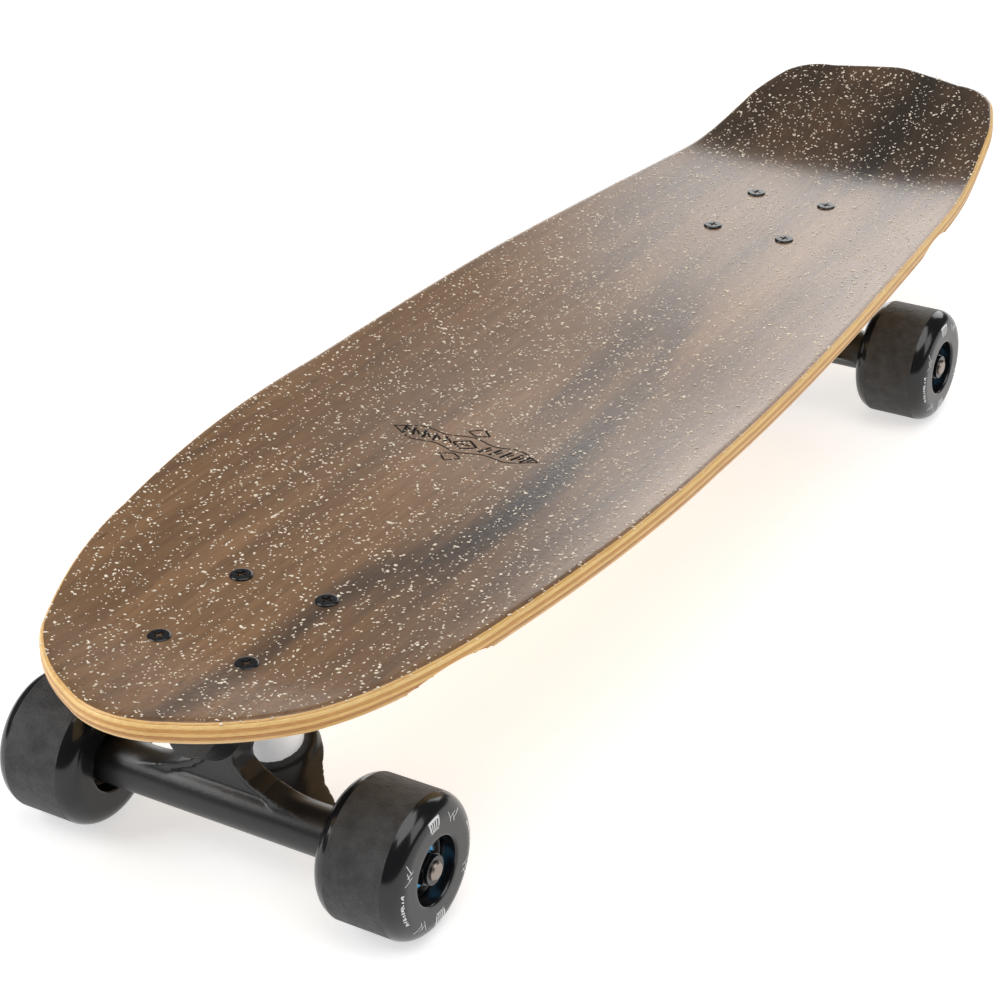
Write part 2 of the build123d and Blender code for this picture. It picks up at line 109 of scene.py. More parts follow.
def make_mesh(name, points, quads, merge=0.002, outward=True):
    """A mesh in metres from points in millimetres, with its seams and poles closed."""
    mesh = bpy.data.meshes.new(name)
    mesh.vertices.add(len(points))
    mesh.vertices.foreach_set("co", (np.asarray(points, float) * MM).ravel())
    mesh.loops.add(quads.size)
    mesh.loops.foreach_set("vertex_index", quads.astype(np.int32).ravel())
    mesh.polygons.add(len(quads))
    mesh.polygons.foreach_set("loop_start", np.arange(0, quads.size, quads.shape[1], dtype=np.int32))
    mesh.update(calc_edges=True)
    if not merge:
        return mesh
    work = bmesh.new()
    work.from_mesh(mesh)
    bmesh.ops.remove_doubles(work, verts=work.verts, dist=merge * MM)
    bmesh.ops.dissolve_degenerate(work, edges=work.edges, dist=0.2 * merge * MM)
    if outward:
        bmesh.ops.recalc_face_normals(work, faces=work.faces)
    work.to_mesh(mesh)
    work.free()
    mesh.polygons.foreach_set("use_smooth", np.ones(len(mesh.polygons), bool))
    return mesh


def piece(name, mesh, body, materials, stands_for=()):
    """Adds a mesh as a piece of the object that rides on a body."""
    thing = bpy.data.objects.new(name, mesh)
    bpy.context.scene.collection.objects.link(thing)
    for material in materials:
        mesh.materials.append(material)
    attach(thing, body)
    if stands_for:
        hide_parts(*stands_for)


def sharpen(mesh, degrees_over):
    """Keeps edges sharper than the given angle crisp."""
    mesh.set_sharp_from_angle(angle=math.radians(degrees_over))


def lathe(profile, steps):
    """Turns a closed profile of (distance along the axis, radius) rows about the X axis."""
    angle = np.arange(steps) * 2 * math.pi / steps
    along, radius = np.asarray(profile, float).T
    points = np.stack([
        np.broadcast_to(along[:, None], (len(along), steps)),
        radius[:, None] * np.cos(angle),
        radius[:, None] * np.sin(angle),
    ], -1)
    return points, grid_quads(len(along), steps, wrap_rows=True, wrap_columns=True)


def arc(centre, radius, start, end, steps):
    """Points of a circular arc in the profile's plane, angles in degrees."""
    turn = np.radians(np.linspace(start, end, steps))
    return np.stack([centre[0] + radius * np.cos(turn), centre[1] + radius * np.sin(turn)], -1)


def spread(profile, step):
    """The closed profile with its long runs divided so that no run is longer than step."""
    rows = []
    for a, b in zip(profile, np.roll(profile, -1, axis=0)):
        count = max(1, int(math.ceil(np.hypot(*(b - a)) / step)))
        rows.append(a + (b - a) * np.arange(count)[:, None] / count)
    return np.concatenate(rows)


# ---------------------------------------------------------------- implicit solids


def smooth_min(a, b, reach):
    """The smaller of two distances, blended where they are within reach of each other."""
    share = np.clip(0.5 + 0.5 * (b - a) / reach, 0, 1)
    return b + (a - b) * share - reach * share * (1 - share)


def smooth_max(a, b, reach):
    return -smooth_min(-a, -b, reach)


def rod_distance(along, across_squared, half_length, radius, rounding=1.0):
    """Signed distance to a rod with rounded rims, from distance along and squared distance off its axis."""
    side = np.sqrt(across_squared) - radius + rounding
    end = np.abs(along) - half_length + rounding
    outside = np.hypot(np.maximum(side, 0), np.maximum(end, 0))
    return np.minimum(np.maximum(side, end), 0) + outside - rounding


def isosurface(field, low, high, step):
    """The zero surface of field(x, y, z) inside a box, by surface nets: one point in each grid cell that
    the surface crosses, at the mean of its edge crossings, joined across every crossed grid edge. The
    points then take three Newton steps along the field's gradient, onto the exact surface."""
    axes = [np.arange(a, b + step, step) for a, b in zip(low, high)]
    x, y, z = np.meshgrid(*axes, indexing="ij")
    value = field(x, y, z)
    cells = tuple(n - 1 for n in value.shape)
    total = np.zeros(cells + (3,))
    count = np.zeros(cells)
    offsets = [(i, j, k) for i in (0, 1) for j in (0, 1) for k in (0, 1)]

    def corner(o):
        return value[o[0]:o[0] + cells[0], o[1]:o[1] + cells[1], o[2]:o[2] + cells[2]]

    for a in offsets:
        for axis in range(3):
            if a[axis]:
                continue
            b = tuple(v + (n == axis) for n, v in enumerate(a))
            va, vb = corner(a), corner(b)
            crossed = (va < 0) != (vb < 0)
            share = np.where(crossed, va / np.where(va == vb, 1, va - vb), 0)
            spot = np.zeros(cells + (3,)) + np.array(a, float)
            spot[..., axis] += share
            total += spot * crossed[..., None]
            count += crossed
    active = count > 0
    index = -np.ones(cells, int)
    index[active] = np.arange(active.sum())
    base = np.stack(np.nonzero(active), -1)
    points = (base + total[active] / count[active][:, None]) * step + np.array([a[0] for a in axes])
    quads = []
    for axis in range(3):
        u, v = [n for n in range(3) if n != axis]
        first = [slice(1, cells[n]) if n != axis else slice(0, cells[n]) for n in range(3)]
        here = value[tuple(first)]
        after = value[tuple(slice(s.start + (n == axis), s.stop + (n == axis)) for n, s in enumerate(first))]
        cross = (here < 0) != (after < 0)
        at = np.stack(np.nonzero(cross), -1) + np.array([s.start for s in first])
        step_u, step_v = np.eye(3, dtype=int)[u], np.eye(3, dtype=int)[v]
        ring = [at - step_u - step_v, at - step_v, at, at - step_u]
        quad = np.stack([index[tuple(c.T)] for c in ring], -1)
        flip = (here[cross] < 0) != (axis == 1)
        quad[~flip] = quad[~flip][:, ::-1]
        quads.append(quad)
    quads = np.concatenate(quads)
    for _ in range(3):
        here = field(*points.T)
        nudge = 0.01
        gradient = np.stack([
            field(*(points + nudge * np.eye(3)[n]).T) - field(*(points - nudge * np.eye(3)[n]).T)
            for n in range(3)
        ], -1) / (2 * nudge)
        size = np.maximum((gradient**2).sum(-1), 0.05)
        move = -(here / size)[:, None] * gradient
        points = points + np.clip(move, -0.5 * step, 0.5 * step)
    return points, quads


# ---------------------------------------------------------------- finishes


class Finish:
    """A material under construction: a Principled surface and short ways to add nodes to it."""

    def __init__(self, name, colour, roughness, metallic=0.0, coat=0.0, specular=0.5):
        self.material = bpy.data.materials.new(name)
        self.material.use_nodes = True
        self.tree = self.material.node_tree
        self.surface = self.tree.nodes["Principled BSDF"]
        self.set(self.surface, {
            "Base Color": (*colour, 1), "Roughness": roughness, "Metallic": metallic, "Coat Weight": coat,
            "Coat Roughness": 0.1, "Specular IOR Level": specular,
        })

    def set(self, node, values):
        for key, value in values.items():
            if isinstance(value, bpy.types.NodeSocket):
                self.tree.links.new(value, node.inputs[key])
            else:
                node.inputs[key].default_value = value

    def node(self, kind, inputs=None, **settings):
        made = self.tree.nodes.new(kind)
        for key, value in settings.items():
            setattr(made, key, value)
        self.set(made, inputs or {})
        return made

    def place(self):
        return self.node("ShaderNodeTexCoord").outputs["Object"]

    def attribute(self, name):
        return self.node("ShaderNodeAttribute", attribute_name=name).outputs["Fac"]

    def group(self, tree, inputs=None):
        made = self.tree.nodes.new("ShaderNodeGroup")
        made.node_tree = tree
        self.set(made, inputs or {})
        return made.outputs

    def maths(self, operation, a, b=0.0, clamp=False):
        made = self.node("ShaderNodeMath", {0: a, 1: b}, operation=operation, use_clamp=clamp)
        return made.outputs["Value"]

    def mix(self, share, a, b, kind="MIX"):
        made = self.node("ShaderNodeMix", data_type="RGBA", blend_type=kind)
        for index, value in ((0, share), (6, a), (7, b)):
            if isinstance(value, bpy.types.NodeSocket):
                self.tree.links.new(value, made.inputs[index])
            else:
                made.inputs[index].default_value = value
        return made.outputs[2]

    def ramp(self, factor, stops):
        made = self.node("ShaderNodeValToRGB", {"Fac": factor})
        line = made.color_ramp
        while len(line.elements) < len(stops):
            line.elements.new(0.5)
        for element, (at, colour) in zip(line.elements, stops):
            element.position = at
            element.color = (*colour, 1)
        return made.outputs["Color"]

    def bump(self, height, distance):
        made = self.node("ShaderNodeBump", {"Height": height, "Distance": distance, "Strength": 1.0})
        self.set(self.surface, {"Normal": made.outputs["Normal"]})
        return self.material


def effect_group(name, inputs, outputs, build):
    """A shared effect: a node group with named sockets, filled by build(finish, inlet, outlet)."""
    tree = bpy.data.node_groups.new(name, "ShaderNodeTree")
    for label, kind, default in inputs:
        socket = tree.interface.new_socket(name=label, in_out="INPUT", socket_type=kind)
        if default is not None:
            socket.default_value = default
    for label, kind in outputs:
        tree.interface.new_socket(name=label, in_out="OUTPUT", socket_type=kind)
    maker = Finish.__new__(Finish)
    maker.tree = tree
    inlet, outlet = maker.node("NodeGroupInput"), maker.node("NodeGroupOutput")
    build(maker, inlet.outputs, outlet)
    return tree


def build_mottle(made, inlet, outlet):
    """Soft clouds of tone: two sizes of noise, centred on 1 and spread by Amount."""
    big = made.node("ShaderNodeTexNoise", {"Vector": inlet["Place"], "Scale": inlet["Scale"], "Detail": 5.0})
    small = made.node("ShaderNodeTexNoise", {
        "Vector": inlet["Place"], "Scale": made.maths("MULTIPLY", inlet["Scale"], 7.3), "Detail": 3.0})
    both = made.maths("ADD", big.outputs["Fac"], made.maths("MULTIPLY", small.outputs["Fac"], 0.5))
    spread_out = made.maths("MULTIPLY", made.maths("SUBTRACT", both, 0.75), inlet["Amount"])
    made.set(outlet, {"Factor": made.maths("ADD", spread_out, 1.0)})


def build_grainy(made, inlet, outlet):
    """A fine pebbled height: small noise over a slightly coarser one."""
    fine = made.node("ShaderNodeTexNoise", {"Vector": inlet["Place"], "Scale": inlet["Scale"], "Detail": 4.0})
    coarse = made.node("ShaderNodeTexNoise", {
        "Vector": inlet["Place"], "Scale": made.maths("MULTIPLY", inlet["Scale"], 0.31), "Detail": 2.0})
    made.set(outlet, {"Height": made.maths("ADD", fine.outputs["Fac"], coarse.outputs["Fac"])})


def build_dust(made, inlet, outlet):
    """A patchy mask, 0 to 1, where fine dust lies."""
    cloud = made.node("ShaderNodeTexNoise", {
        "Vector": inlet["Place"], "Scale": 45.0, "Detail": 8.0, "Roughness": 0.7})
    patches = made.maths("SUBTRACT", cloud.outputs["Fac"], 0.45, clamp=True)
    made.set(outlet, {"Mask": made.maths("MULTIPLY", patches, inlet["Amount"], clamp=True)})


VECTOR, NUMBER = "NodeSocketVector", "NodeSocketFloat"
MOTTLE = effect_group("Mottle", [("Place", VECTOR, None), ("Scale", NUMBER, 20.0), ("Amount", NUMBER, 0.3)],
                      [("Factor", NUMBER)], build_mottle)
GRAINY = effect_group("Grainy height", [("Place", VECTOR, None), ("Scale", NUMBER, 900.0)],
                      [("Height", NUMBER)], build_grainy)
DUST = effect_group("Fine dust", [("Place", VECTOR, None), ("Amount", NUMBER, 0.3)],
                    [("Mask", NUMBER)], build_dust)


def toned(made, colour, place, scale, amount):
    """The colour made lighter and darker in soft clouds."""
    factor = made.group(MOTTLE, {"Place": place, "Scale": scale, "Amount": amount})["Factor"]
    grey = made.node("ShaderNodeCombineColor", {0: factor, 1: factor, 2: factor}).outputs["Color"]
    return made.mix(1.0, (*colour, 1), grey, "MULTIPLY")


def plain_finish(name, colour, roughness, metallic=0.0, coat=0.0, grain=900.0, relief=0.02, clouds=0.25,
                 cloud_scale=60.0, dust=0.0, specular=0.5, gloss_spread=0.25, painted_glow=0.0):
    """A moulded, cast or machined surface: clouded tone, uneven gloss, fine relief and a little dust, with an
    optional painted glow in its own colour that stands in for light.
    """
    made = Finish(name, colour, roughness, metallic, coat, specular=specular)
    # Painted light: a glow in the surface's own colour that lightens it as if lit, though it is no lamp.
    made.set(made.surface, {"Emission Color": (*colour, 1), "Emission Strength": painted_glow})
    place = made.place()
    tone = toned(made, colour, place, cloud_scale, clouds)
    mask = made.group(DUST, {"Place": place, "Amount": dust})["Mask"]
    made.set(made.surface, {"Base Color": made.mix(mask, tone, (0.42, 0.4, 0.37, 1))})
    gloss = made.group(MOTTLE, {"Place": place, "Scale": 150.0, "Amount": gloss_spread})["Factor"]
    rough = made.maths("MULTIPLY", gloss, roughness, clamp=True)
    rough = made.maths("ADD", rough, made.maths("MULTIPLY", mask, 0.4), clamp=True)
    made.set(made.surface, {"Roughness": rough})
    return made.bump(made.group(GRAINY, {"Place": place, "Scale": grain})["Height"], relief * MM)


def walnut_finish():
    """Lacquered open-pored veneer: long brown and charcoal streaks with painted shade that darkens the kick,
    short dark pores along the board and a satin coat that is slightly uneven."""
    made = Finish("Walnut veneer, clear coated", (0.2, 0.13, 0.08), 0.23, coat=0.0, specular=0.5)
    place = made.place()

    def along(scale, across, detail, roughness=0.55, distortion=0.0, shift=0.0):
        run = made.node("ShaderNodeMapping", {"Vector": place, "Location": (shift, shift, shift),
                                              "Scale": (across, 1.0, across)})
        return made.node("ShaderNodeTexNoise", {
            "Vector": run.outputs["Vector"], "Scale": scale, "Detail": detail, "Roughness": roughness,
            "Distortion": distortion}).outputs["Fac"]

    bands = along(3.2, 9.0, 6.0, 0.6, 0.6, 3.1)
    lines = along(9.0, 34.0, 6.0, 0.62, 0.3, 7.7)
    fibres = along(42.0, 46.0, 4.0, 0.6, 0.0, 1.3)
    # Per-point tone from the mesh: the charcoal streaks plus painted shade that darkens the whole kick.
    figure_and_kick_shade = made.attribute("figure_and_kick_shade")
    tone = made.maths("ADD", figure_and_kick_shade, made.maths("MULTIPLY", made.maths("SUBTRACT", bands, 0.5), 0.75))
    tone = made.maths("ADD", tone, made.maths("MULTIPLY", made.maths("SUBTRACT", lines, 0.5), 0.55))
    wood = made.ramp(tone, [
        (0.05, (0.3, 0.168, 0.082)), (0.28, (0.205, 0.114, 0.056)), (0.5, (0.118, 0.069, 0.039)),
        (0.74, (0.064, 0.041, 0.027)), (0.98, (0.032, 0.024, 0.018))])
    pores = along(110.0, 9.0, 2.0, 0.5, 0.0, 5.9)
    pore_mask = made.maths("MULTIPLY", made.maths("SUBTRACT", pores, 0.6, clamp=True), 5.0, clamp=True)
    dark_fibres = made.maths("SUBTRACT", fibres, 0.32, clamp=True)
    wood = made.mix(made.maths("MULTIPLY", dark_fibres, 0.85, clamp=True), wood, (0.06, 0.045, 0.035, 1))
    wood = made.mix(made.maths("MULTIPLY", pore_mask, 0.55), wood, (0.022, 0.017, 0.014, 1))
    made.set(made.surface, {"Base Color": wood})
    gloss = made.group(MOTTLE, {"Place": place, "Scale": 26.0, "Amount": 0.25})["Factor"]
    made.set(made.surface, {"Roughness": made.maths("MULTIPLY", gloss, 0.235, clamp=True)})
    grit = made.node("ShaderNodeTexNoise", {"Vector": place, "Scale": 520.0, "Detail": 3.0, "Roughness": 0.6})
    height = made.maths("ADD", grit.outputs["Fac"], made.maths("MULTIPLY", pore_mask, -0.4))
    height = made.maths("ADD", height, made.maths("MULTIPLY", fibres, 0.5))
    return made.bump(height, 0.08 * MM)


def ply_finish(name, light, dark, across=1.0):
    """The cut edge of one veneer: fine fibre ends drawn out along the board, with darker flecks."""
    made = Finish(name, light, 0.5, coat=0.0)
    place = made.place()
    run = made.node("ShaderNodeMapping", {"Vector": place, "Scale": (across, 0.12, 2.4)})
    fine = made.node("ShaderNodeTexNoise", {"Vector": run.outputs["Vector"], "Scale": 420.0, "Detail": 5.0,
                                            "Roughness": 0.65})
    broad = made.node("ShaderNodeTexNoise", {"Vector": place, "Scale": 28.0, "Detail": 3.0})
    flecks = made.maths("MULTIPLY", made.maths("SUBTRACT", fine.outputs["Fac"], 0.4), 1.9)
    clouds = made.maths("MULTIPLY", made.maths("SUBTRACT", broad.outputs["Fac"], 0.5), 0.8)
    share = made.maths("ADD", flecks, clouds, clamp=True)
    made.set(made.surface, {"Base Color": made.mix(share, (*light, 1), (*dark, 1))})
    gloss = made.group(MOTTLE, {"Place": place, "Scale": 70.0, "Amount": 0.3})["Factor"]
    made.set(made.surface, {"Roughness": made.maths("MULTIPLY", gloss, 0.42, clamp=True)})
    return made.bump(fine.outputs["Fac"], 0.05 * MM)


WALNUT = walnut_finish()
EDGE = {
    "top_veneer": ply_finish("Sanded veneer edge", (0.72, 0.43, 0.15), (0.5, 0.25, 0.07)),
    "ply_2": ply_finish("Pale maple edge", (0.84, 0.57, 0.23), (0.66, 0.38, 0.12)),
    "ply_3": ply_finish("Amber cross ply edge", (0.6, 0.3, 0.08), (0.42, 0.18, 0.045)),
    "core_ply_4": ply_finish("Core maple edge", (0.8, 0.5, 0.18), (0.58, 0.31, 0.09)),
    "ply_5": ply_finish("Brown cross ply edge", (0.5, 0.235, 0.065), (0.34, 0.145, 0.04)),
    "ply_6": ply_finish("Warm maple edge", (0.74, 0.45, 0.16), (0.54, 0.28, 0.085)),
    "bottom_veneer": ply_finish("Natural veneer face", (0.8, 0.54, 0.25), (0.62, 0.37, 0.15)),
}
TREAD = plain_finish("Ground urethane tread", (0.024, 0.024, 0.025), 0.55, grain=1700.0, relief=0.45,
                     clouds=2.2, cloud_scale=180.0, dust=0.12)
LIP = plain_finish("Moulded urethane", (0.008, 0.008, 0.009), 0.16, grain=300.0, relief=0.006,
                   gloss_spread=0.1)
MARK = plain_finish("White wheel ink", (0.72, 0.72, 0.72), 0.5, grain=1800.0, relief=0.02)
CAST = plain_finish("Black powder coat", (0.011, 0.011, 0.012), 0.36, grain=1300.0, relief=0.06, clouds=0.4,
                    cloud_scale=120.0)
RUBBER = plain_finish("Black riser rubber", (0.02, 0.02, 0.02), 0.6, grain=1100.0, relief=0.05, dust=0.15)
CUP = plain_finish("Black cup urethane", (0.02, 0.02, 0.022), 0.45)
# The bushing's glow is painted light: it brightens the white urethane where it sits in the deck's shade.
BUSHING = plain_finish("White bushing urethane", (0.88, 0.88, 0.89), 0.35, coat=0.15, relief=0.015,
                       clouds=0.06, painted_glow=0.4)
BLACK_STEEL = plain_finish("Blackened steel", (0.008, 0.008, 0.009), 0.24, relief=0.01)
ZINC = plain_finish("Bright plated steel", (0.55, 0.56, 0.58), 0.3, metallic=1.0, clouds=0.2)
AXLE_STEEL = plain_finish("Axle steel", (0.3, 0.25, 0.22), 0.34, metallic=1.0, clouds=0.35)
BEARING = plain_finish("Ground bearing steel", (0.62, 0.63, 0.65), 0.22, metallic=1.0, clouds=0.12)
# The shield's glow is painted light: it brightens the blue shields that lie deep in the wheel recesses.
SHIELD = plain_finish("Blue bearing shield", (0.08, 0.4, 0.72), 0.42, relief=0.015, painted_glow=0.35)
# The grains' pale cream is painted glint: it stands in for the light that the clear shards catch.
GRIT_WITH_PAINTED_GLINT = plain_finish("Clear grip grains", (0.95, 0.84, 0.68), 0.35, clouds=0.5, cloud_scale=200.0,
                     relief=0.01)
INK = plain_finish("Burnt ornament line", (0.012, 0.009, 0.007), 0.8, relief=0.01, specular=0.1)


# ---------------------------------------------------------------- deck surface and outline


ROCKER_DIP, ROCKER_REACH = 2.1, 110.0
KICK_ANGLE, KICK_REACH, KICK_SOFTNESS = math.radians(18.1), 98.7, 11.0
LIFT_ANGLE, LIFT_REACH, LIFT_SOFTNESS = math.radians(5.7), 56.4, 6.0
CONCAVE_RISE = 9.2


def bend(ahead, angle, softness):
    """Height gained past a bend: nothing before it, a straight slope after it, and smooth between."""
    return math.tan(angle) * softness * np.logaddexp(0, ahead / softness)


def deck_rise(x, y):
    """Height of the top face above the truck pads: a bell-shaped rocker dip between the trucks, a kick
    and a slight nose lift that bend smoothly from flat to full slope, and a side concave of half x^2
    and half x^4."""
    middle = (TRUCK_Y["front"] + TRUCK_Y["rear"]) / 2
    rocker = -ROCKER_DIP * np.exp(-(((y - middle) / ROCKER_REACH) ** 2))
    kick = bend(y - (DECK_LENGTH / 2 - KICK_REACH), KICK_ANGLE, KICK_SOFTNESS)
    lift = bend(-y - (DECK_LENGTH / 2 - LIFT_REACH), LIFT_ANGLE, LIFT_SOFTNESS)
    side = x / (DECK_WIDTH / 2)
    return rocker + kick + lift + CONCAVE_RISE * (side**2 + side**4) / 2


def arc_through(a, b, c, steps):
    """Points of the circular arc from a through b to c."""
    a, b, c = (np.array(p, float) for p in (a, b, c))
    rows = np.array([b - a, c - a])
    middle = np.linalg.solve(rows, (rows * (np.array([b + a, c + a]) / 2)).sum(1))
    angles = np.unwrap([math.atan2(*(p - middle)[::-1]) for p in (a, b, c)])
    turn = np.linspace(angles[0], angles[2], steps)
    return middle + np.hypot(*(a - middle)) * np.stack([np.cos(turn), np.sin(turn)], -1)


def deck_outline(count):
    """Evenly spaced points round the plan outline from the nose tip, its right half mirrored to the left:
    a chain of arcs, each through three stations of (distance from the nose, half-width)."""
    stations = np.array([
        (6.4, 23.0), (20.2, 44.6), (41.3, 64.1), (78.6, 81.6), (133.0, 95.0), (207.7, 104.7),
        (287.7, 106.3), (367.8, 105.1), (448.0, 101.3), (518.1, 95.6), (612.7, 86.6), (657.7, 80.5),
        (701.0, 73.8), (716.0, 68.9), (726.0, 64.5), (735.0, 55.6), (740.2, 39.7), (744.4, 23.4),
        (748.5, 4.0)])
    side = np.stack([stations[:, 1], stations[:, 0] - PLAN_LENGTH / 2], -1)
    tip, end = np.array([0, -PLAN_LENGTH / 2]), np.array([0, PLAN_LENGTH / 2])
    nose = arc_through(side[0] * (-1, 1), tip, side[0], 201)[100:]
    tail = arc_through(side[-1], end, side[-1] * (-1, 1), 41)[:21]
    chain = [nose] + [arc_through(*side[i:i + 3], 200) for i in range(0, len(side) - 2, 2)] + [tail]
    line = np.concatenate(chain)
    line = line[np.concatenate([[True], np.hypot(*np.diff(line, axis=0).T) > 1e-6])]
    run = np.concatenate([[0], np.cumsum(np.hypot(*np.diff(line, axis=0).T))])
    at = np.linspace(0, run[-1], count // 2 + 1)
    half = np.stack([np.interp(at, run, line[:, 0]), np.interp(at, run, line[:, 1])], -1)
    half[0, 0] = half[-1, 0] = 0
    return np.concatenate([half, half[-2:0:-1] * (-1, 1)])


def outline_normals(line):
    """Outward unit normals of the closed outline, from its neighbours on both sides."""
    along = np.roll(line, -1, axis=0) - np.roll(line, 1, axis=0)
    along /= np.hypot(*along.T)[:, None]
    return np.stack([along[:, 1], -along[:, 0]], -1)


OUTLINE = deck_outline(720)
OUTWARD_NORMAL = outline_normals(OUTLINE)
ROUND_OVER = 4.2
AXLE_OUT = 17.1
SPINE = np.stack([np.zeros(len(OUTLINE)), np.clip(OUTLINE[:, 1], -275.0, 300.0)], -1)
WELL_DEPTH, WELL_HALF, WELL_INNER, WELL_RIM = 6.0, 30.0, 55.0, 14.0
WELL_CENTRES = (TRUCK_Y["front"] - AXLE_OUT + 27.5, TRUCK_Y["rear"] + AXLE_OUT - 6.0)
WELL_RADIUS = (WELL_HALF**2 + WELL_DEPTH**2) / (2 * WELL_DEPTH)


def round_over(near):
    """How far the rounded edge has fallen away at a distance from where it ends; nothing beyond it."""
    short = ROUND_OVER - np.minimum(near, ROUND_OVER)
    return ROUND_OVER - np.sqrt(np.maximum(ROUND_OVER**2 - short**2, 0))


def edge_inset(depth):
    """How far the rounded edge stands in from the outline at a depth below the top face."""
    return round_over(np.minimum(depth, THICKNESS - depth))


def well_height(x, y):
    """Top of the four scoops: drums whose axes rise outwards, so that each scoop deepens to the edge."""
    bottom = DECK_TOP - THICKNESS
    edge = DECK_WIDTH / 2 - WELL_RIM
    low = bottom + deck_rise(WELL_INNER, TRUCK_Y["front"])
    high = bottom + deck_rise(edge, TRUCK_Y["front"]) + WELL_DEPTH
    lean = (high - low) / (edge - WELL_INNER)
    best = np.full(np.shape(x), -1e3)
    for middle in WELL_CENTRES:
        across = np.abs(y - middle)
        drop = WELL_RADIUS - np.sqrt(np.maximum(WELL_RADIUS**2 - across**2, 0))
        top = low + lean * (np.abs(x) - WELL_INNER) - drop * math.hypot(1, lean)
        best = np.maximum(best, np.where(across < WELL_RADIUS, top, -1e3))
    return best


def deck_sheet(depth, shares, inset):
    """Rings from the edge towards the spine at one depth: share 1 is the edge, share 0 the spine."""
    edge = OUTLINE - OUTWARD_NORMAL * inset
    flat = SPINE[None] + (edge - SPINE)[None] * np.asarray(shares)[:, None, None]
    height = DECK_TOP + deck_rise(flat[..., 0], flat[..., 1]) - depth
    return np.concatenate([flat, height[..., None]], -1)


def veneer(index):
    """One veneer: its upper face, its part of the rounded edge and its lower face, as rings round the
    board. Below the scoops' surface it is cut away."""
    top, bottom = index * PLY, (index + 1) * PLY
    fine = np.concatenate([np.linspace(1, 0.5, 26)[1:], np.linspace(0.5, 0, 10)[1:]])
    smooth = np.linspace(1, 0, 46)[1:]
    if index == 0:
        turn = np.linspace(0, math.acos(1 - PLY / ROUND_OVER), 10)
        depths = ROUND_OVER * (1 - np.cos(turn))
    elif index == len(PLIES) - 1:
        turn = np.linspace(math.acos(1 - PLY / ROUND_OVER), 0, 10)
        depths = THICKNESS - ROUND_OVER * (1 - np.cos(turn))
    else:
        depths = np.linspace(top, bottom, 4)
    upper = deck_sheet(top, smooth if index == 0 else fine, edge_inset(top))[::-1]
    edge = np.concatenate([deck_sheet(d, [1.0], edge_inset(d)) for d in depths])
    lower = deck_sheet(bottom, fine, edge_inset(bottom))
    points = np.concatenate([upper, edge, lower])
    ceiling = DECK_TOP + deck_rise(points[..., 0], points[..., 1]) - top
    scoop = well_height(points[..., 0], points[..., 1])
    cut = np.minimum(np.maximum(points[..., 2], scoop), ceiling)
    gone = scoop >= ceiling - 1e-6
    points[..., 2] = cut
    quads = grid_quads(*points.shape[:2], wrap_columns=True)
    quads = quads[~gone.reshape(-1)[quads].all(1)]
    return points.reshape(-1, 3), quads


# The second value is painted shade: how much darker the wood is painted on the kick, which turns away from
# the reflected light.
PALE_WOOD, KICK_PAINTED_SHADE, KICK_FROM = 0.27, 0.38, 262.0
FADE, STREAK_STRENGTH = 14.0, 0.85


def streaks_and_kick_shade_of(points):
    """Where the long charcoal streaks run: each is a bell across its own bending centre line, faded at
    both ends, and the kick is painted darker all over, as painted shade where it turns away from the
    reflected light. A streak is (start y, end y, x at start, x at end, bow, half-width, depth)."""
    x, y = points[:, 0], points[:, 1]
    value = np.full(len(points), PALE_WOOD)
    for start, end, x0, x1, bow, wide, depth in FIGURE:
        t = (y - start) / (end - start)
        line = x0 + (x1 - x0) * t + bow * np.sin(np.pi * np.clip(t, 0, 1)) + 1.6 * np.sin(y / 23.0 + x0)
        fade = 1 / (1 + np.exp((start - y) / FADE)) / (1 + np.exp((y - end) / FADE))
        value += STREAK_STRENGTH * depth * fade * np.exp(-(((x - line) / wide) ** 2))
    # Painted shade: the whole kick is painted darker from where its bend starts.
    return value + KICK_PAINTED_SHADE / (1 + np.exp((KICK_FROM - y) / 9))


FIGURE = [
    (-372, -215, 16, 26, 0, 7.5, 0.42),
    (-250, -110, 34, 46, 3, 9.0, 0.38),
    (-235, 60, 52, 22, 6, 7.0, 0.36),
    (-60, 130, 12, -10, 4, 11.0, 0.24),
    (-330, -60, 70, 78, 5, 8.0, 0.16),
    (-20, 230, 62, 52, 0, 9.0, 0.16),
    (255, 385, 24, 18, 0, 9.0, 0.5),
    (232, 340, 2, 8, 3, 14.0, 0.22),
    (240, 385, 48, 40, 0, 12.0, 0.22),
    (60, 250, -36, -44, -4, 12.0, 0.2),
    (-300, -40, -62, -78, -4, 7.0, 0.14),
    (120, 380, -66, -50, -6, 12.0, 0.26),
    (-360, -150, -34, -30, 4, 5.0, 0.12),
]

for i, ply_name in enumerate(PLIES):
    points, quads = veneer(i)
    mesh = make_mesh(f"deck_{ply_name}_face", points, quads)
    materials = [WALNUT, EDGE["top_veneer"]] if i == 0 else [EDGE[ply_name]]
    piece(f"deck_{ply_name}_face", mesh, "deck", materials, [f"deck_{ply_name}"])
    if i == 0:
        spots = np.zeros(len(mesh.vertices) * 3)
        mesh.vertices.foreach_get("co", spots)
        spots = spots.reshape(-1, 3) / MM
        # Per-vertex tone: the streaks plus the painted shade on the kick.
        figure_and_kick_shade = mesh.attributes.new("figure_and_kick_shade", "FLOAT", "POINT")
        figure_and_kick_shade.data.foreach_set("value", streaks_and_kick_shade_of(spots).astype(np.float32))
        middles = np.zeros(len(mesh.polygons) * 3)
        mesh.polygons.foreach_get("center", middles)
        middles = middles.reshape(-1, 3) / MM
        depth = DECK_TOP + deck_rise(middles[:, 0], middles[:, 1]) - middles[:, 2]
        mesh.polygons.foreach_set("material_index", (depth > 0.6).astype(np.int32))


# ---------------------------------------------------------------- grip grains and ornament


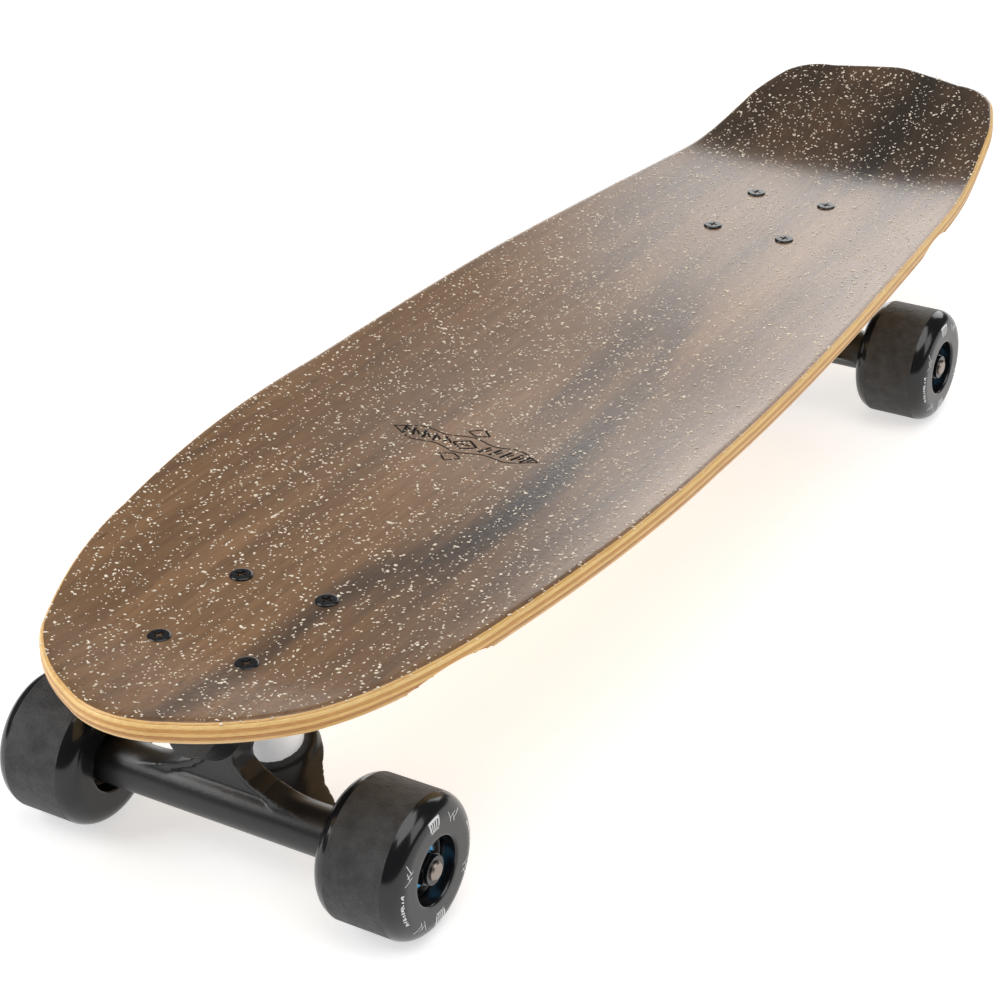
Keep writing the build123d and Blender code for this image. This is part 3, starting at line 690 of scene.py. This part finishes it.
def half_width_at(y):
    """Half the board's width at each y, read off the right half of the outline."""
    half = OUTLINE[:len(OUTLINE) // 2 + 1]
    return np.interp(y, half[:, 1], half[:, 0])


BOLT_X, BOLT_Y, HEAD_CLEARANCE = 20.65, 27.0, 5.6
GRAIN_SIZE, SMALLEST_GRAIN, LARGEST_GRAIN = 0.4, 0.2, 0.85


def grip_grains(count, seed):
    """Clear grit shards, each an uneven five-sided double pyramid, scattered over the top face and its
    rounded edge, turned at random and clear of the screw heads."""
    draw = np.random.default_rng(seed)
    y = draw.uniform(-DECK_LENGTH / 2 + 1.5, DECK_LENGTH / 2 - 2.5, 3 * count)
    x = draw.uniform(-DECK_WIDTH / 2, DECK_WIDTH / 2, 3 * count)
    keep = np.abs(x) < half_width_at(y) - 1.0
    for middle in TRUCK_Y.values():
        for sx in (-1, 1):
            for sy in (-1, 1):
                keep &= np.hypot(x - sx * BOLT_X, y - middle - sy * BOLT_Y) > HEAD_CLEARANCE
    x, y = x[keep][:count], y[keep][:count]
    n = len(x)
    size = np.clip(np.exp(draw.normal(math.log(GRAIN_SIZE), 0.36, n)), SMALLEST_GRAIN, LARGEST_GRAIN)
    stretch, turn = draw.uniform(1.0, 1.9, n), draw.uniform(0, math.pi, n)
    ring = np.arange(5) * 2 * math.pi / 5 + draw.uniform(0, 0.9, (n, 5))
    reach = size[:, None] * draw.uniform(0.7, 1.2, (n, 5))
    u, v = reach * np.cos(ring) * stretch[:, None], reach * np.sin(ring)
    px = u * np.cos(turn)[:, None] - v * np.sin(turn)[:, None]
    py = u * np.sin(turn)[:, None] + v * np.cos(turn)[:, None]
    tip = draw.uniform(-0.3, 0.3, (n, 2)) * size[:, None]
    px = np.concatenate([px, tip[:, :1], 0 * tip[:, :1]], 1) + x[:, None]
    py = np.concatenate([py, tip[:, 1:], 0 * tip[:, 1:]], 1) + y[:, None]
    lift = np.concatenate([draw.uniform(-0.02, 0.1, (n, 5)), size[:, None] * draw.uniform(0.45, 0.8, (n, 1)),
                           np.full((n, 1), -0.15)], 1)
    margin = np.maximum(half_width_at(y) - np.abs(x), 0.0)
    pz = DECK_TOP + deck_rise(px, py) + lift - round_over(margin)[:, None]
    around = np.arange(5)
    upper = np.stack([around, (around + 1) % 5, np.full(5, 5)], -1)
    lower = np.stack([(around + 1) % 5, around, np.full(5, 6)], -1)
    faces = np.concatenate([upper, lower])[None] + 7 * np.arange(n)[:, None, None]
    return np.stack([px, py, pz], -1).reshape(-1, 3), faces.reshape(-1, 3)


def closed_patch(upper, lower):
    """A thin closed slab from two matching grids of points."""
    rows, columns = upper.shape[:2]
    count = rows * columns
    top = grid_quads(rows, columns)
    rim = np.concatenate([np.arange(columns), np.arange(1, rows) * columns + columns - 1,
                          count - 2 - np.arange(columns - 1), (np.arange(rows - 2, 0, -1)) * columns])
    after = np.roll(rim, -1)
    sides = np.stack([rim, after, after + count, rim + count], -1)
    return np.concatenate([upper.reshape(-1, 3), lower.reshape(-1, 3)]), np.concatenate(
        [top, top[:, ::-1] + count, sides])


def line_on_deck(path, width):
    """A drawn line of even width laid on the deck: the path is divided finely and widened both ways."""
    path = np.asarray(path, float)
    run = np.concatenate([[0], np.cumsum(np.hypot(*np.diff(path, axis=0).T))])
    at = np.linspace(0, run[-1], max(3, int(run[-1] / 1.0)))
    line = np.stack([np.interp(at, run, path[:, 0]), np.interp(at, run, path[:, 1])], -1)
    along = np.gradient(line, axis=0)
    along /= np.hypot(*along.T)[:, None]
    side = np.stack([along[:, 1], -along[:, 0]], -1) * width / 2
    flat = np.stack([line - side, line + side], 1)
    height = DECK_TOP + deck_rise(flat[..., 0], flat[..., 1])
    return closed_patch(np.dstack([flat, height + 0.035]), np.dstack([flat, height - 0.1]))


def ornament():
    """A plain sign in thin lines: a low diamond in the middle of a wavy band, a row of short strokes on
    each side and small darts above and below."""
    centre = np.array([-4.0, -115.0])
    lines = []
    wave = np.linspace(-1, 1, 61)
    for sign in (-1, 1):
        lines.append((np.stack([37 * wave, sign * (6.5 + 1.6 * np.cos(wave * 9)) * (1 - wave**4)], -1), 0.8))
        lines.append((np.array([(0, sign * 9.5), (5.5, sign * 12.5), (0, sign * 17.5), (-5.5, sign * 12.5),
                                (0, sign * 9.5)]), 0.9))
        for x in (10.0, 15.5, 21.0, 26.5, 31.0):
            lean = 1.2 * sign
            lines.append((np.array([(sign * x - lean, -3.4), (sign * x + lean, 3.4)]), 1.5))
            lines.append((np.array([(sign * x - lean + 2.6, -1.5), (sign * x + lean + 1.8, 1.7)]), 1.0))
    lines.append((np.array([(-6, 0), (0, 4.6), (6, 0), (0, -4.6), (-6, 0)]), 1.2))
    lines.append((np.array([(-2.6, 0), (2.6, 0)]), 1.2))
    return join_grids(*(line_on_deck(path + centre, width) for path, width in lines))


points, faces = grip_grains(12500, 41)
mesh = make_mesh("clear_grip_grains", points, faces, merge=0)
piece("clear_grip_grains", mesh, "deck", [GRIT_WITH_PAINTED_GLINT])
points, quads = ornament()
mesh = make_mesh("deck_ornament", points, quads, merge=0)
piece("deck_ornament", mesh, "deck", [INK])

# ---------------------------------------------------------------- wheels

WHEEL_RADIUS, WHEEL_HALF, LIP_RADIUS = 30.0, 20.15, 8.5
BORE, SEAT, SHOULDER, RECESS = 9.4, 11.02, 5.0, 13.75


def wheel_profile():
    """Closed half-section: bearing seats, a recess with an eased rim, a flat side, a full round lip, and
    a tread that is very slightly crowned."""
    side = np.concatenate([
        [(SHOULDER, BORE), (SHOULDER, SEAT), (12.0, SEAT), (12.1, 13.2), (12.6, RECESS)],
        [(18.9, 13.9)], arc((18.95, 15.1), 1.2, -90, 0, 7), [(WHEEL_HALF, 18.0)],
        arc((WHEEL_HALF - LIP_RADIUS, WHEEL_RADIUS - LIP_RADIUS), LIP_RADIUS, 0, 78, 20),
        [(13.2, WHEEL_RADIUS - 0.1), (12.9, WHEEL_RADIUS - 0.01), (11.5, WHEEL_RADIUS)],
    ])
    return np.concatenate([side, side[::-1] * (-1, 1)])


def on_wheel_side(radius):
    """Distance out along the axle of the wheel's side at a radius: flat, then the round lip."""
    lift = np.maximum(radius - (WHEEL_RADIUS - LIP_RADIUS), 0)
    return WHEEL_HALF - LIP_RADIUS + np.sqrt(np.maximum(LIP_RADIUS**2 - lift**2, 0))


def side_mark(angle, sweep, inner, outer, lean=0.0):
    """A patch of ink on the wheel's outer side between two radii and two angles, in degrees from the top."""
    radius, turn = np.meshgrid(np.linspace(inner, outer, 5), np.linspace(0, 1, max(2, int(sweep / 2.5) + 2)),
                               indexing="ij")
    tilt = lean * (radius - inner) / max(outer - inner, 1e-6)
    turn = np.radians(angle + (turn - 0.5) * sweep + tilt)
    out = on_wheel_side(radius)
    ring = np.stack([out, -radius * np.sin(turn), radius * np.cos(turn)], -1)
    bulge = np.maximum(radius - (WHEEL_RADIUS - LIP_RADIUS), 0) / LIP_RADIUS
    normal = np.stack([np.sqrt(1 - bulge**2), -bulge * np.sin(turn), bulge * np.cos(turn)], -1)
    return closed_patch(ring + 0.04 * normal, ring - 0.15 * normal)


# one jagged dart: (inner radius, outer radius, lean in degrees) of each stroke
DART = ((20.2, 23.0, 8), (20.8, 25.2, -7), (19.6, 23.6, 9), (21.0, 24.0, -8))


def wheel_marks():
    """Generic print on one wheel side: two blocked tags, four jagged darts and two rows of ticks."""
    marks = []
    for at in (3, 183):
        for offset, wide in ((-7.5, 2.2), (7.5, 2.2), (-3.2, 1.6), (0.6, 1.6), (4.0, 1.6)):
            marks.append(side_mark(at + offset, wide, 19.4, 24.6))
        marks += [side_mark(at, 17.5, 19.2, 20.2), side_mark(at, 17.5, 23.8, 24.8)]
    for at in (-33, -118, 62, 146):
        for i, (low, high, lean) in enumerate(DART):
            marks.append(side_mark(at + 3.6 * i - 5, 0.9, low, high, lean))
    draw = np.random.default_rng(8)
    for start, count in ((-92, 9), (82, 13)):
        for i in range(count):
            low = 23.4 + draw.uniform(0, 0.5)
            high, lean = low + draw.uniform(1.0, 1.7), draw.uniform(-3, 3)
            marks.append(side_mark(start + 3.1 * i, 1.7, low, high, lean))
    return join_grids(*marks)


def set_on_axle(points, side, axle_y):
    """Moves points modelled on the X axis, outward side +X, to a wheel's place."""
    turned = points * (side, 1, 1)
    return turned + (side * WHEEL_X, axle_y, AXLE_HEIGHT)


wheel_points, wheel_quads = lathe(spread(wheel_profile(), 2.6), 144)
mark_points, mark_quads = wheel_marks()
for end in ENDS:
    for side_name, side in SIDES.items():
        wheel = f"{end}_{side_name}_wheel"
        points = set_on_axle(wheel_points.reshape(-1, 3), side, AXLE_Y[end])
        mesh = make_mesh(f"{wheel}_tyre", points, wheel_quads)
        middles = np.zeros(len(mesh.polygons) * 3)
        mesh.polygons.foreach_get("center", middles)
        middles = middles.reshape(-1, 3) / MM
        reach = np.hypot(middles[:, 1] - AXLE_Y[end], middles[:, 2] - AXLE_HEIGHT)
        tread = (np.abs(np.abs(middles[:, 0]) - WHEEL_X) < 13.0) & (reach > 28)
        mesh.polygons.foreach_set("material_index", tread.astype(np.int32))
        sharpen(mesh, 40)
        piece(f"{wheel}_tyre", mesh, wheel, [LIP, TREAD], [wheel])
        points = set_on_axle(mark_points, side, AXLE_Y[end])
        mesh = make_mesh(f"{wheel}_marks", points, mark_quads, merge=0.001)
        piece(f"{wheel}_marks", mesh, wheel, [MARK])

# ---------------------------------------------------------------- trucks
# A truck is modelled with its middle on the Z axis and +Y outwards, then set at the nose or the tail.

RING_AT, PIVOT_AT = np.array([0, -15.0, 40.0]), np.array([0, 29.0, 70.0])
PIN_TILT = math.radians(18.0)
PIN_AXIS = np.array([0, math.sin(PIN_TILT), math.cos(PIN_TILT)])
STEER_AXIS = (PIVOT_AT - RING_AT) / np.linalg.norm(PIVOT_AT - RING_AT)
TUBE_RADIUS, TUBE_HALF = 10.5, 64.0
RING_DOWN, RING_HALF, RING_RADIUS, RING_HOLE = 3.5, 4.0, 17.3, 8.2
BUSHING_SEAT, SEAT_HALF = 12.6, 2.5
PIVOT_RADIUS, STEM_LENGTH = 6.0, 24.0


def set_on_truck(points, end):
    """Turns and moves truck-local points to the nose or the tail."""
    sign = OUTWARD[end]
    return points * (sign, sign, 1) + (0, TRUCK_Y[end], 0)


def from_axis(points, origin, axis):
    """Stands points modelled about the X axis on an axis in the truck's middle plane."""
    side = np.array([1.0, 0, 0])
    across = np.cross(axis, side)
    return origin + points[..., :1] * axis + points[..., 1:2] * side + points[..., 2:] * across


def edge_line_distance(x, z, line):
    """Distance in the XZ plane to a chain of straight runs."""
    best = np.full(np.shape(x), 1e3)
    for (ax, az), (bx, bz) in zip(line[:-1], line[1:]):
        length = (bx - ax) ** 2 + (bz - az) ** 2
        t = np.clip(((x - ax) * (bx - ax) + (z - az) * (bz - az)) / length, 0, 1)
        best = np.minimum(best, np.hypot(x - ax - t * (bx - ax), z - az - t * (bz - az)))
    return best


# (half-width, height) down the web's edge, and (distance out, height) down the skirt's shoulder
WEB_EDGE = np.array([
    (49.0, 32.0), (44.0, 34.4), (37.3, 36.8), (28.4, 39.4), (20.9, 42.0), (13.8, 45.6), (9.0, 49.6),
    (6.4, 54.0), (5.6, 58.5)])
SKIRT = np.array([
    (0, 54.0), (15.2, 50.0), (17.4, 41.5), (19.0, 38.5), (22.4, 35.6), (29.0, 33.0), (39.0, 30.8),
    (50.0, 27.0)])


def hanger_field(x, y, z):
    """Signed distance to the cast hanger: a tube, a kingpin ring on a skirt that flares down to the tube,
    a web with a raised rib along each edge, and a tapering pivot stem, softly blended, less the seats."""
    wide = np.abs(x)
    tube = rod_distance(x, (y - AXLE_OUT) ** 2 + (z - AXLE_HEIGHT) ** 2, TUBE_HALF, TUBE_RADIUS, 1.6)
    dy, dz = y - RING_AT[1], z - RING_AT[2]
    up = dy * PIN_AXIS[1] + dz * PIN_AXIS[2]
    off = dy * PIN_AXIS[2] - dz * PIN_AXIS[1]
    round_off = np.hypot(x, off)
    ring = rod_distance(up + RING_DOWN, round_off**2, RING_HALF, RING_RADIUS, 1.2)
    apart, drop = AXLE_OUT - RING_AT[1], RING_AT[2] - 30.0
    above = (dy * drop + dz * apart) / math.hypot(apart, drop)
    spread_out = np.where(dy < 0, np.hypot(x, dy), wide)
    shoulder = np.interp(spread_out, SKIRT[:, 0], SKIRT[:, 1])
    gusset = smooth_max((z - shoulder) * 0.55, smooth_max(up - 0.1, -above - 5.5, 1.0), 1.5)
    around = smooth_max(y - AXLE_OUT, np.maximum(spread_out - 50.0, -dy - 17.0), 2.0)
    gusset = smooth_max(gusset, around, 1.5)
    edge = edge_line_distance(wide, z, WEB_EDGE)
    limit = np.interp(wide, WEB_EDGE[::-1, 0], WEB_EDGE[::-1, 1])
    under_top = (wide > WEB_EDGE[-1, 0]) | (z < WEB_EDGE[-1, 1])
    inside = np.where((z < limit) & (wide < WEB_EDGE[0, 0]) & under_top, -edge, edge)
    web = smooth_max(inside, smooth_max(np.abs(y - AXLE_OUT - 0.5) - 3.8, 26.0 - z, 1.0), 0.8)
    rib = smooth_max(edge - 1.5, np.abs(y - AXLE_OUT - 0.5) - 6.0, 0.8)
    run = (y - PIVOT_AT[1]) * STEER_AXIS[1] + (z - PIVOT_AT[2]) * STEER_AXIS[2]
    beside = np.sqrt(x**2 + ((y - PIVOT_AT[1]) * STEER_AXIS[2] - (z - PIVOT_AT[2]) * STEER_AXIS[1]) ** 2)
    stem_radius = PIVOT_RADIUS + 3.4 * np.clip((-run - 7.0) / 16.0, 0, 1)
    stem = smooth_max(beside - stem_radius, np.maximum(run, -run - STEM_LENGTH), 2.5)
    tip = np.sqrt(beside**2 + run**2) - PIVOT_RADIUS
    body = smooth_min(tube, gusset, 3.0)
    body = smooth_min(body, ring, 1.2)
    body = smooth_min(body, smooth_min(web, rib, 1.0), 1.6)
    body = smooth_min(body, np.minimum(stem, tip), 2.5)
    seat = np.maximum(round_off - BUSHING_SEAT, SEAT_HALF - np.abs(up + RING_DOWN))
    hole = round_off - RING_HOLE
    return smooth_max(body, -np.minimum(seat, hole), 0.5)


def bushing_profile(start, end, wide, narrow, bore):
    """Half-section of a urethane bushing: eased rims and a slightly bulging side."""
    t = np.linspace(0, 1, 13)
    along = start + (end - start) * t
    radius = wide + (narrow - wide) * t + 0.45 * np.sin(np.pi * t)
    radius[[0, -1]] -= 1.0
    radius[[1, -2]] -= 0.22
    sign = math.copysign(1.0, end - start)
    along[[1, -2]] = (start + sign * 0.35, end - sign * 0.35)
    return np.concatenate([[(start, bore)], np.stack([along, radius], -1), [(end, bore)]])


hanger_points, hanger_quads = isosurface(hanger_field, (-67, -36, 14), (67, 44, 79), 0.95)
bushings = {
    "boardside_bushing": bushing_profile(-0.95, 14.95, 12.2, 11.6, 4.95),
    "roadside_bushing": bushing_profile(-6.05, -12.95, 11.0, 8.8, 4.95),
}
for end in ENDS:
    mesh = make_mesh(f"{end}_hanger_casting", set_on_truck(hanger_points, end), hanger_quads, merge=0.01)
    sharpen(mesh, 50)
    piece(f"{end}_hanger_casting", mesh, f"{end}_hanger", [CAST], [f"{end}_hanger"])
    for name, profile in bushings.items():
        points, quads = lathe(spread(profile, 1.5), 96)
        points = set_on_truck(from_axis(points.reshape(-1, 3), RING_AT, PIN_AXIS), end)
        mesh = make_mesh(f"{end}_{name}_urethane", points, quads)
        sharpen(mesh, 50)
        piece(f"{end}_{name}_urethane", mesh, "deck", [BUSHING], [f"{end}_{name}"])

# ---------------------------------------------------------------- finishes of the frame's own pieces

FINISH_OF = {
    "riser_pad": RUBBER, "baseplate": CAST, "pivot_cup": CUP, "kingpin": BLACK_STEEL,
    "kingpin_nut": BLACK_STEEL, "cup_washers": ZINC, "axle": AXLE_STEEL, "speed_washers": ZINC,
    "axle_nuts": BLACK_STEEL, "mounting_bolts": BLACK_STEEL, "mounting_nuts": BLACK_STEEL,
    "bearing_outer_rings": BEARING, "bearing_shields": SHIELD, "bearing_ball_sets": BEARING,
    "bearing_inner_rings": BEARING, "bearing_spacer": ZINC,
}
for node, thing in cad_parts.items():
    for ending, finish in FINISH_OF.items():
        if node.endswith(ending) and "hanger" not in node:
            thing.data.materials.clear()
            thing.data.materials.append(finish)


# ---------------------------------------------------------------- stage, light and camera


def stage_floor():
    """A wide pale disc under the wheels: rings of growing radius."""
    steps, rings = 96, np.array([0.0, 0.4, 0.9, 2.0, 5.0, 12.0, 30.0]) / MM
    turn = np.arange(steps) * 2 * math.pi / steps
    level = np.zeros((len(rings), steps))
    points = np.stack([rings[:, None] * np.cos(turn), rings[:, None] * np.sin(turn), level], -1)
    quads = grid_quads(len(rings), steps, wrap_columns=True)
    mesh = make_mesh("floor", points.reshape(-1, 3), quads, outward=False)
    if mesh.polygons[0].normal.z < 0:
        mesh.flip_normals()
    made = Finish("Pale studio floor", (0.6, 0.6, 0.6), 0.9, specular=0.1)
    made.set(made.surface, {"Emission Color": (1, 1, 1, 1), "Emission Strength": 0.6})
    mesh.materials.append(made.material)
    floor = bpy.data.objects.new("floor", mesh)
    bpy.context.scene.collection.objects.link(floor)


def looking_back(azimuth, elevation):
    """Axes of something that looks at the board from a compass angle and a height angle, in degrees:
    right, up and back."""
    a, e = math.radians(azimuth), math.radians(elevation)
    back = np.array([math.sin(a) * math.cos(e), -math.cos(a) * math.cos(e), math.sin(e)])
    right = np.cross((0, 0, 1), back)
    right /= np.linalg.norm(right)
    return right, np.cross(back, right), back


def stand(thing, right, up, back, spot):
    """Sets an object's axes and place."""
    rows = np.column_stack([right, up, back, spot])
    thing.matrix_world = Matrix([*rows.tolist(), [0, 0, 0, 1]])


def panel(name, azimuth, elevation, distance, width, height, power, turn=0.0):
    """A soft rectangular light round the board's middle, turned about its own beam."""
    light = bpy.data.lights.new(name, "AREA")
    light.shape = "RECTANGLE"
    light.size, light.size_y = width, height
    light.energy = power
    thing = bpy.data.objects.new(name, light)
    bpy.context.scene.collection.objects.link(thing)
    right, up, back = looking_back(azimuth, elevation)
    c, s = math.cos(math.radians(turn)), math.sin(math.radians(turn))
    right, up = c * right - s * up, s * right + c * up
    spot = np.array((0, 0, 0.1)) + distance * back
    stand(thing, right, up, back, spot)


def set_world():
    """White surroundings for the eye, and a much dimmer sky for the light."""
    world = bpy.data.worlds.new("Studio")
    bpy.context.scene.world = world
    world.use_nodes = True
    nodes, links = world.node_tree.nodes, world.node_tree.links
    seen, lit = nodes["Background"], nodes.new("ShaderNodeBackground")
    seen.inputs["Color"].default_value = (1, 1, 1, 1)
    seen.inputs["Strength"].default_value = 1.0
    lit.inputs["Color"].default_value = (0.95, 0.97, 1, 1)
    lit.inputs["Strength"].default_value = 0.09
    mixer, path = nodes.new("ShaderNodeMixShader"), nodes.new("ShaderNodeLightPath")
    links.new(path.outputs["Is Camera Ray"], mixer.inputs[0])
    links.new(lit.outputs[0], mixer.inputs[1])
    links.new(seen.outputs[0], mixer.inputs[2])
    links.new(mixer.outputs[0], nodes["World Output"].inputs["Surface"])


def set_camera():
    """The viewpoint: compass angle, height angle and a slight roll, with a medium-long lens."""
    camera = bpy.data.cameras.new("camera")
    camera.lens, camera.sensor_width = 89.62, 36.0
    thing = bpy.data.objects.new("camera", camera)
    bpy.context.scene.collection.objects.link(thing)
    level, upright, back = looking_back(30.70, 28.128)
    roll = math.radians(-0.634)
    right = math.cos(roll) * level + math.sin(roll) * upright
    up = -math.sin(roll) * level + math.cos(roll) * upright
    spot = (0.51058, -0.95177, 0.59989)
    stand(thing, right, up, back, spot)
    bpy.context.scene.camera = thing


stage_floor()
set_world()
panel("overhead", 60, 72, 2.6, 2.2, 2.2, 44)
panel("left_key", -48, 34, 2.2, 1.1, 1.3, 30)
panel("right_fill", 98, 30, 2.6, 1.2, 1.4, 12)
panel("far_glow", 195, 15.6, 4.0, 4.8, 2.0, 82, turn=30)
set_camera()
bpy.context.scene.view_settings.view_transform = "Standard"
